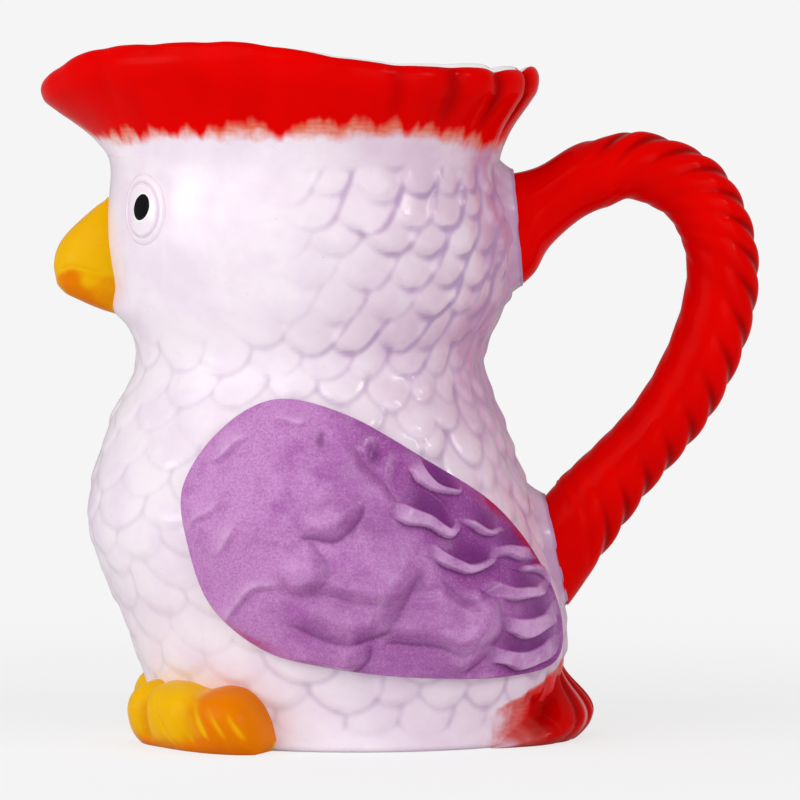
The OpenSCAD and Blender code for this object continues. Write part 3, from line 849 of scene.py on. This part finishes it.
# Soft lobes: width of the slope that falls to the edge, share of the full step, and the edge
WING_LOBES = [
    (4.5, 1, [[28, 21.8], [32, 26], [35.4, 29.4], [38, 32.6], [38.6, 36], [37.4, 41], [36.5, 46.7]]),
    (5, 1, [[-17, 62.6], [-13, 61.6], [-9, 61.6], [-5, 62.6], [-1.8, 65], [0.6, 68], [1.6, 71.8]]),
    (5, 0.4, [[-18, 80.6], [-9.9, 77], [-3.5, 77.6], [0.3, 80.2], [0.9, 83.4], [-1.6, 87.5]]),
    (3.5, 0.6, [[8.4, 66.4], [9.4, 69.2], [8.5, 72.5], [6.2, 76.4], [2.3, 79.8], [-0.5, 83.1], [-2, 88]]),
    (6.5, 1, [[-20.8, 41.6], [-17.8, 40], [-13.4, 37.8], [-7.8, 35], [-1.6, 33.8], [3.2, 34.4],
              [6.8, 36.1], [9, 39.4], [11.3, 43.9], [14.1, 49.5], [16.4, 52.6], [20.2, 54.8]]),
    (5.5, 0.9, [[-3, 21.4], [0.1, 24.4], [1.8, 26.8], [3.2, 30], [3.4, 34.4]]),
    (4, 0.8, [[-12, 49], [-7.2, 48], [-2.7, 46.9], [1.8, 45.7], [5.7, 45], [11.3, 45.4]]),
    (3, 0.7, [[37.4, 48.4], [35.9, 46.4], [33.1, 43.9], [28.6, 44.5], [24.2, 47.8], [20.8, 51.8]]),
    (5, 0.9, [[4.4, 32.6], [8.4, 33.4], [11.3, 33.6], [16.3, 32.7], [21.9, 31.3], [26.4, 29.9],
              [30.9, 31], [33.7, 35], [34.8, 41]]),
    (4, 0.8, [[-20, 48.4], [-15, 47.8], [-10.8, 49.2], [-8.4, 52.6], [-8.6, 57.2], [-11.6, 60.4],
              [-16, 61.4]]),
]
WING_WRINKLES = [
    [[-41.9, 81.7], [-37.4, 82], [-31.8, 86.5], [-26.8, 89]],
    [[-44.2, 63], [-40.8, 66.3], [-38, 69.1], [-35.8, 71.6]],
    [[-37.4, 56.8], [-34.6, 60.7], [-30.7, 65.2]],
    [[-22, 93.4], [-17, 91.4], [-12.5, 92.6]],
    [[-33.8, 36.5], [-32.6, 41.9], [-29.5, 46.2], [-25, 49], [-18.5, 49.6]],
]
WRINKLE_SLOPE = 1.3
# How high a step is, how far it reaches back, how strong its painted highlight and painted shade get, and
# the share of the run that fades
LOBE_STEP = (3.3, 12, 0.45, 0.62, 0.14)
WRINKLE_STEP = (1, 5, 1, 0.15, 0.25)
# Dimples, and with a negative depth bumps: x and z, half width, half height and depth
WING_DIMPLES = [
    [-10, 88, 1.8, 3.4, 1.2], [4.1, 84.2, 2.2, 4.2, 1.4], [9.4, 79, 2.6, 4.6, 0.8],
    [-15.6, 54.4, 5.6, 4.8, -1.3],
]
# Crimson paint that strayed onto the border: x and z, how wide and high it spreads, and how strong it is
WING_BLUSHES = [[45.5, 57, 5, 9, 1], [36, 69, 6, 7, 1], [-27, 34, 9, 5, 0.5]]
# Uneven ground: number of waves, and the shortest and the longest one
LOOSE_WAVES, BROAD_WAVES, SMALL_WAVES = (14, 7, 16), (26, 12, 26), (26, 6, 10)
ROUGH_X, ROUGH_Z, ROUGH_SPREAD = -4, 70, 24


def beside_run(x, z, run, fade):
    """Distance above a run of points, negative below it, share of the run, and how far it shows."""
    path = even_path(run, 56)
    slope = unit(np.gradient(path, axis=0))
    away = hypot(x[..., None] - path[:, 0], z[..., None] - path[:, 1])
    nearest = np.argmin(away, -1)
    dx, dz = x - path[nearest, 0], z - path[nearest, 1]
    above = hypot(dx, dz) * np.sign(slope[nearest, 0] * dz - slope[nearest, 1] * dx)
    place = linspace(0, 1, len(path))
    weight = exp((away.min(-1, keepdims=True) - away) / 0.8)
    weight /= weight.sum(-1, keepdims=True)
    shown = weight @ (ease(place, 0, fade) * ease(place, 1, 1 - fade))
    return above, weight @ place, clip((shown - 0.12) / 0.88, 0, 1)


def wing_tip(x, z, first, last, run):
    """Height of a feather tip's flat lip, its pale band, painted shade with pooled glaze above, and painted
    shadow under it.
    """
    above, place, shown = beside_run(x, z, run, TIP_FADE)
    lip = mix(first, last, place)
    past = clip(above - lip, 0, None)
    dip = 1 - 0.4 * ease(above, lip - 0.4, lip + 0.5)
    height = TIP_RISE * ease(above, -0.15, 0.7) * dip * exp(-past / TIP_REACH)
    # Pale band on the lip: thin glaze, and painted light from the floor
    band = ease(above, -0.1, 0.3) * ease(above, lip + 0.3, lip - 0.4)
    pool_and_shade_above = ease(above, lip - 0.4, lip + 0.4) * ease(past, 13, 2) * mix(0.5, 0.72, place)
    # Painted shadow just under the lip
    under = 0.8 * ease(above, 0.25, -0.2) * exp(-clip(-above, 0, None) / 1.1)
    return height * shown, 0.9 * band * shown, maximum(pool_and_shade_above, under) * shown


def wing_step(x, z, width, share, run, step):
    """Height of a soft step, the painted highlight on its crest, and the painted shade in the crease under
    it.
    """
    rise, reach, worn, dark, fade = step
    above, _, shown = beside_run(x, z, run, fade)
    shown = shown * share
    past = clip(above - width, 0, None)
    height = rise * ease(above, -0.2 * width, width) * exp(-past / reach)
    crest = worn * ease(above, 0.5 * width, 1.1 * width) * exp(-past / (1.2 * width))
    # Painted shade on the slope and in the crease
    crease = ease(above, -0.25 * width, 0.05 * width) * exp(-clip(above, 0, None) / (0.5 * width))
    return height * shown, crest * shown, dark * crease * shown


def lumps(x, z, count, shortest, longest):
    """Uneven ground made of waves in many directions, about one high."""
    total = np.zeros(x.shape)
    for _ in range(count):
        length = RNG.uniform(shortest, longest)
        way = RNG.uniform(0, pi)
        start = RNG.uniform(0, 2 * pi)
        total += sin((x * cos(way) + z * sin(way)) * 2 * pi / length + start)
    return total / sqrt(count / 2)


def wing_inset(middle, edge, radius, turn):
    rim = skin(*edge.T)
    tangent = unit(np.roll(rim, -1, 0) - np.roll(rim, 1, 0))
    reach = np.linalg.norm(np.cross(rim - skin(*middle), tangent), axis=1)
    return (1 - radius) * along_edge(reach, turn)


def wing_relief(x, z):
    """Height of the wing's relief, painted highlights on its crests, painted shade in its recesses, and its
    darker ground.
    """
    loose = [x + 0.3 * lumps(x, z, *LOOSE_WAVES), z + 0.3 * lumps(x, z, *LOOSE_WAVES)]
    steps = [wing_step(*loose, *lobe, LOBE_STEP) for lobe in WING_LOBES]
    steps += [wing_step(*loose, WRINKLE_SLOPE, 1, run, WRINKLE_STEP) for run in WING_WRINKLES]
    steps += [wing_tip(*loose, *tip) for tip in WING_TIPS]
    heights, bands, pools = zip(*steps)
    relief, crest = np.sum(heights, 0), np.max(bands, 0)
    # Painted shade and pooled glaze beside the tips and in the creases
    hollow = np.max(pools, 0) * (1 - crest)
    for dip_x, dip_z, wide, high, deep in WING_DIMPLES:
        dip = deep * spot(x - dip_x, z - dip_z, wide, high)
        relief -= dip
        # Painted shade in the dimples
        hollow = maximum(hollow, 0.4 * dip)
    relief += 0.3 * lumps(x, z, *BROAD_WAVES)
    rough = spot(x - ROUGH_X, z - ROUGH_Z, ROUGH_SPREAD, ROUGH_SPREAD)
    relief += 0.1 * rough * lumps(x, z, *SMALL_WAVES) - 1.2 * ease(x, 2, 32)
    ground_z, ground_x = WING_GROUND.T
    # Dark ground behind the tips, partly painted shade
    ground = ease(loose[0] - np.interp(loose[1], ground_z, ground_x), -3, 5) * (1 - crest)
    return relief, crest, hollow, ground


def wing_piece(glaze):
    radius, turn = disc_grid(WING_GRID)
    stretch = np.array([WING_UNIT, 1])
    edge = even_path(WING_OUTLINE * stretch, 4 * WING_GRID, True) / stretch + [0, BELLY_Z]
    middle = np.add(WING_MIDDLE, [0, BELLY_Z])
    angle, z = patch_places(middle, edge, radius, turn)
    x = skin(angle, z)[..., 0]
    inset = wing_inset(middle, edge, radius, turn)
    relief, crest, hollow, ground = wing_relief(x, z)
    plate = WING_EDGE + WING_CROWN * sqrt(clip(1 - radius**3, 0, 1))
    top = plate + relief * ease(inset, 0.5, 3)
    rounding = clip(1 - inset / WING_ROUND, 0, 1)
    height = top * sqrt(clip(1 - rounding**2, 0, 1)) - 0.6 * rounding
    # Painted shade where the surface lies lower than around it
    low_ground = clip(0.9 * (soften(top, 40) - top), 0, 0.35)
    blush = sum(strong * spot(x - at_x, z - at_z, wide, high)
                for at_x, at_z, wide, high, strong in WING_BLUSHES)
    form = patch_mesh(middle, edge, height, WING_SINK)
    add_pair("wing", "purple_glaze", form, glaze, hollow=maximum(hollow, low_ground),
             crest=crest * ease(inset, 0.3, 1.5), edge=inset, blush=blush, ground=ground)


# Eye: a domed disc in a groove, with a soft ring around it and a painted pupil
EYE_ANGLE, EYE_Z, EYE_RADIUS, EYE_NARROW = 143, 153.2, 10.2, 0.93
EYE_GRID = 96
EYE_DISC = 0.75
PUPIL_FORWARD, PUPIL_UP, PUPIL_LEAN, PUPIL_NARROW = -1.2, 0.7, 0.2, 0.88


def eye_piece(glaze):
    radius, turn = disc_grid(EYE_GRID)
    around = radians(even_turn(4 * EYE_GRID))
    wide = EYE_RADIUS * EYE_NARROW
    edge_angle = EYE_ANGLE + wide / mm_per_degree(EYE_ANGLE, EYE_Z) * cos(around)
    edge = np.stack([edge_angle, EYE_Z + EYE_RADIUS * sin(around)], -1)
    dome = (0.7 + 0.8 * (1 - (radius / EYE_DISC) ** 2)) * ease(radius, EYE_DISC + 0.03, EYE_DISC - 0.05)
    ring = 0.55 * ease(radius, EYE_DISC + 0.01, EYE_DISC + 0.12) * ease(radius, 1.02, EYE_DISC + 0.06)
    height = soften(dome + ring + 0.1, 2) - 0.35 * ease(radius, 0.94, 1)
    forward = radius * wide * cos(2 * pi * turn) - PUPIL_FORWARD
    upward = radius * EYE_RADIUS * sin(2 * pi * turn) - PUPIL_UP
    form = patch_mesh([EYE_ANGLE, EYE_Z], edge, height)
    # Painted shade in the groove around the domed disc
    add_pair("eye", "eye_glaze", form, glaze,
             hollow=0.4 * bell(radius - EYE_DISC - 0.02, 0.05),
             away=hypot((forward + PUPIL_LEAN * upward) / PUPIL_NARROW, upward))


# Relief with a back of its own: each ring joins a line of outer points to a line behind them
SKIRT_BACK, SKIRT_SINK = 8, 1.2


def relief_fields(form, **grids):
    """Fields over a relief's outer points, with zero behind them."""
    fields = {}
    for key, grid in grids.items():
        behind = (len(form[0]) - 2) // len(grid) - grid.shape[1]
        fields[key] = np.append(np.pad(grid, ((0, 0), (0, behind))), [0, 0])
    return fields


def skirt_mesh(angle, z, out):
    """Relief that leans on the body, by its distance out at each angle and height."""
    back_z = mix(z[:, :1], z[:, -1:], linspace(1, 0, SKIRT_BACK))
    return capped_tube(np.hstack([skin(angle, z, out), skin(angle, back_z, -SKIRT_SINK)]))


def beside_fullest(share, fullest):
    """Share of the way from the fullest place to the top, and to the bottom."""
    above = clip((share - fullest) / (1 - fullest), 0, 1)
    return above, clip((fullest - share) / fullest, 0, 1)


# Beak: its height, how far it stands out of the face there, and its half width there
BEAK_STATIONS = np.array([
    [122, 0, 2], [123.5, 3, 5], [126, 8.3, 7.5], [128.7, 14, 8.8], [131.5, 16.2, 9.8], [135, 16.3, 10.5],
    [139, 15.4, 10.8], [142.5, 13.7, 10.4], [146, 11, 9.2], [150, 6.9, 7.2], [153.5, 2.9, 4.6], [156, 0, 2],
])
BEAK_ROWS, BEAK_COLUMNS = 140, 90
BEAK_SINK, BEAK_BACK = 0.9, 2.5
MOUTH_Z = 135


def beak_piece(glaze):
    rise_at, half_at = (smooth_curve(BEAK_STATIONS, k) for k in (1, 2))
    share = (1 - cos(linspace(0.02, pi - 0.02, BEAK_ROWS))) / 2
    heights = mix(BEAK_STATIONS[0, 0], BEAK_STATIONS[-1, 0], share)
    z, turn = np.meshgrid(heights, radians(linspace(-90, 90, BEAK_COLUMNS)), indexing="ij")
    y = half_at(z) * sin(turn)
    front_x = -skin_front(y, z) - chin_rise(z)
    away = abs(np.degrees(turn))
    smile = MOUTH_Z + 1.6 * bell(away - 52, 20)
    mouth = bell(z - smile, 0.55) * ease(away, 22, 40) * ease(away, 88, 76)
    out = -BEAK_SINK + (rise_at(z) + BEAK_SINK) * cos(turn) ** 0.75 - 0.35 * mouth
    front = np.stack([front_x - out, y, z], -1)
    back = np.stack([front_x + BEAK_BACK, y, z], -1)[:, ::-6]
    form = capped_tube(np.hstack([front, back]))
    # Painted highlight: a yellow spot below the mouth, where the orange is taken away
    light = spot(away - 66, z - 132, 9, 2.2)
    orange = ease(z, smile + 0.8, smile - 2.6) * mix(0.35, 0.95, bell(away - 45, 30)) - 0.5 * light
    # Painted shade along the mouth
    add_piece("beak_glazed", "beak", "yellow_glaze", form, glaze,
              **relief_fields(form, hollow=0.35 * mouth, orange=orange))


# Foot: three toes that run into each other, between two angles around the body
FOOT_FROM, FOOT_TO = 113.2, 168.5
FOOT_HEIGHT, FRONT_TOE_REACH, SIDE_TOE_REACH = 19.2, 13, 17
FOOT_FULLEST, FOOT_SINK = 0.38, 1.2
# Gaps between the toes: angle, spread and depth; and the angles of the brush marks
TOE_GAPS = [[151, 3, 1], [131.5, 4.5, 0.8]]
BRUSH_MARKS = (118.6, 122.6, 127.4, 133.5, 141.5)


def foot_piece(glaze):
    angle = linspace(FOOT_FROM, FOOT_TO, 200)[:, None]
    share = linspace(0, 1, 84) ** 0.9
    across = 2 * (angle - FOOT_FROM) / (FOOT_TO - FOOT_FROM) - 1
    ends = clip(1 - abs(across) ** mix(9, 5, ease(across, -0.4, 0.4)), 0, 1)
    gap = sum(deep * bell(angle - middle, spread) for middle, spread, deep in TOE_GAPS)
    lift = 3.4 * clip(-10 * across - 9, 0, 1) ** 2
    top = maximum(FOOT_HEIGHT * ends**0.55 * (1 - 0.1 * gap), lift)
    reach = mix(SIDE_TOE_REACH, FRONT_TOE_REACH, ease(angle, 124, 150)) * ends**0.5
    above, below = beside_fullest(share, FOOT_FULLEST)
    crease = gap * ease(share, 0, 0.25) * ease(share, 1, 0.6)
    section = sqrt(clip(1 - above**2.2, 0, 1)) - 0.24 * below**2.4
    out = -FOOT_SINK + (reach + FOOT_SINK) * section * (1 - 0.13 * crease)
    z = mix(lift, top, share)
    stroke = sum(bell(angle - mark - 0.4 * (z - 9), 0.9) for mark in BRUSH_MARKS) * bell(z - 8, 4.5)
    form = skirt_mesh(angle, z, out - 0.55 * stroke)
    form[0][:, 2] = maximum(form[0][:, 2], 0)
    orange = 0.15 + 0.85 * ease(angle, 137, 122) + 0.6 * ease(z, 6, 0.5) - 0.6 * stroke
    # Painted shade in the creases between the toes
    add_pair("foot", "yellow_glaze", form, glaze,
             **relief_fields(form, hollow=0.5 * crease, orange=orange))


# Tail: a fan of ridges that spreads from its top and turns out above the table
TAIL_ANGLE, TAIL_HEIGHT, TAIL_REACH = 47, 22.5, 11
TAIL_FULLEST, TAIL_SINK = 0.31, 1
TAIL_RIDGE_TURN, TAIL_RIDGE_DEPTH = 15, 1.3
TAIL_APEX = 30
TAIL_UNIT = 1.01


def tail_arc(angle):
    """Distance along the body from the middle of the tail."""
    return off_back(angle) * TAIL_UNIT


def tail_paint(angle, z):
    """Distance inside the edge of the red paint around the tail."""
    arc = tail_arc(angle)
    inside_edge = 0.9 * (53 - 0.12 * (z - 4) ** 2 - arc)
    inside_top = 2 * (TAIL_HEIGHT + 2 - z)
    return np.minimum(np.minimum(inside_edge, inside_top), 4 + 0.22 * (33 - arc))


def tail_piece(glaze):
    angle = linspace(-TAIL_ANGLE, TAIL_ANGLE, 240)[:, None]
    share = linspace(0, 1, 90)
    spread = abs(angle) / TAIL_ANGLE
    z = TAIL_HEIGHT * clip(1 - spread**1.5, 0.03, 1) * share
    above, below = beside_fullest(share, TAIL_FULLEST)
    section = cos(pi / 2 * above) ** 1.8 - 0.36 * below**2
    fan = np.degrees(np.arctan2(tail_arc(angle), TAIL_APEX - z))
    valley = (1 - abs(cos(pi * fan / TAIL_RIDGE_TURN))) ** 1.3
    ridge = valley * ease(share, 1, 0.75) * ease(fan, 74, 56) * mix(0.4, 1, ease(share, 0.15, 0.5))
    reach = (TAIL_REACH + TAIL_SINK) * clip(1 - spread**2.2, 0, 1) ** 0.6
    form = skirt_mesh(angle, z, -TAIL_SINK + reach * section - TAIL_RIDGE_DEPTH * ridge)
    # Painted shade: the tail is darker all over, in the grooves between its ridges and toward its top
    fields = relief_fields(
        form, hollow=0.45 + 0.45 * ridge + 0.2 * ease(z, 5, 17),
        # Painted highlight along one ridge
        worn=0.55 * bell(fan - 2 * TAIL_RIDGE_TURN, 1.6) * ease(share, 0.1, 0.3),
        painted=tail_paint(angle, z), across=np.broadcast_to(angle * STROKE_UNIT, z.shape), along=z)
    add_piece("tail_glazed", "tail_fan", "red_glaze", form, glaze, **fields)


# Unglazed foot under the base: height, and distance out from its edge
BASE_PROFILE = [(0, -4), (0, -0.8), (0.25, -0.2), (0.8, 0)]
BASE_SHRINK = 2


def base_piece(glaze):
    reach_x, _, top = node_box("base_foot")[1]
    edge = reach_x - STATIONS[0, 2] - BASE_SHRINK
    profile = BASE_PROFILE + [(top, 0), (top, -4)]
    rings = np.stack([skin(even_turn(180), 0, edge + out) + [0, 0, z] for z, out in profile])
    add_piece("base_bare", "base_foot", "bare_clay", capped_tube(rings, [0, 0, 0], [0, 0, top]), glaze)


white = white_glaze()
yellow = yellow_glaze()
body_piece(white)
rim_piece(rim_glaze())
handle_piece(red_glaze())
pad_piece("handle_upper_seat", white)
pad_piece("handle_lower_seat", white)
wing_piece(purple_glaze())
beak_piece(yellow)
eye_piece(eye_glaze())
foot_piece(yellow)
tail_piece(tail_glaze())
base_piece(bare_clay())

# Studio, in metres: floor, world, lamps and camera
BACKGROUND = srgb(245, 245, 245)
FLOOR_HALF = 6
FLOOR_LIT, FLOOR_SHADED = (0.82, 0.82, 0.82, 1), (0.26, 0.26, 0.26, 1)
FLOOR_GLOW = 0.77
FLOOR_FADE = (0.12, 0.45)
AMBIENT = 0.40
AIM = (0.0124, 0.0, 0.0974)
CAMERA_PLACE = (AIM[0], -1.80, 0.194)
LENS, SENSOR = 280.4, 36.0
LAMP_TARGET = (0, 0, 0.1)
# Lamps: place, width and height, and power
LAMPS = {
    "key": ((-1.9, -1.6, 1.25), (2.8, 2.8), 39),
    "fill": ((1.4, -1.9, 0.6), (1.6, 1.6), 16.5),
    "spark": ((1.7, -0.9, 1.1), (0.25, 0.5), 6),
    "glint": ((-0.55, -1.65, 1.0), (0.02, 0.07), 1),
    "low": ((-2.0, -0.7, 0.2), (0.8, 0.5), 5.5),
}


def floor():
    """Floor that shows a soft shadow near the jug and the background further out."""
    tree = Tree("floor")
    tree.nodes.remove(tree.nodes["Principled BSDF"])
    lit = tree.node("ShaderNodeBsdfDiffuse", {"Color": FLOOR_LIT})
    shaded = tree.node("ShaderNodeBsdfDiffuse", {"Color": FLOOR_SHADED})
    glow = tree.node("ShaderNodeEmission", {"Color": BACKGROUND, "Strength": FLOOR_GLOW})
    near = tree.node("ShaderNodeAddShader", {0: shaded, 1: glow})
    far = tree.node("ShaderNodeEmission", {"Color": BACKGROUND, "Strength": 1})
    away = tree.node("ShaderNodeVectorMath", {0: tree.place}, "Value", operation="LENGTH")
    seen = tree.node("ShaderNodeMixShader", {0: tree.ramp(away, *FLOOR_FADE), 1: near, 2: far})
    tree.show("Material Output", lit, seen)
    corners = [(x * FLOOR_HALF, y * FLOOR_HALF, 0) for x, y in ((-1, -1), (1, -1), (1, 1), (-1, 1))]
    mesh = bpy.data.meshes.new("floor")
    mesh.from_pydata(corners, [], [[0, 1, 2, 3]])
    mesh.materials.append(tree.owner)
    new_object("floor", mesh)


def world():
    """Even light from all around, and the background's colour for the camera."""
    tree = Tree("studio", "worlds")
    light = tree.node("ShaderNodeBackground", {"Color": (1, 1, 1, 1), "Strength": AMBIENT})
    tree.show("World Output", light, tree.node("ShaderNodeBackground", {"Color": BACKGROUND}))
    bpy.context.scene.world = tree.owner


def aimed(name, data, place, target):
    made = new_object(name, data)
    made.location = place
    made.rotation_mode = "QUATERNION"
    made.rotation_quaternion = (Vector(target) - Vector(place)).to_track_quat("-Z", "Y")
    return made


def softbox(name, place, size, power):
    lamp = bpy.data.lights.new(name, "AREA")
    lamp.shape = "RECTANGLE"
    lamp.size, lamp.size_y = size
    lamp.energy = power
    aimed(name, lamp, place, LAMP_TARGET)


def camera():
    data = bpy.data.cameras.new("camera")
    data.lens, data.sensor_width = LENS, SENSOR
    bpy.context.scene.camera = aimed("camera", data, CAMERA_PLACE, AIM)


floor()
world()
for lamp_name, lamp in LAMPS.items():
    softbox(lamp_name, *lamp)
camera()
bpy.context.scene.view_settings.view_transform = "Standard"
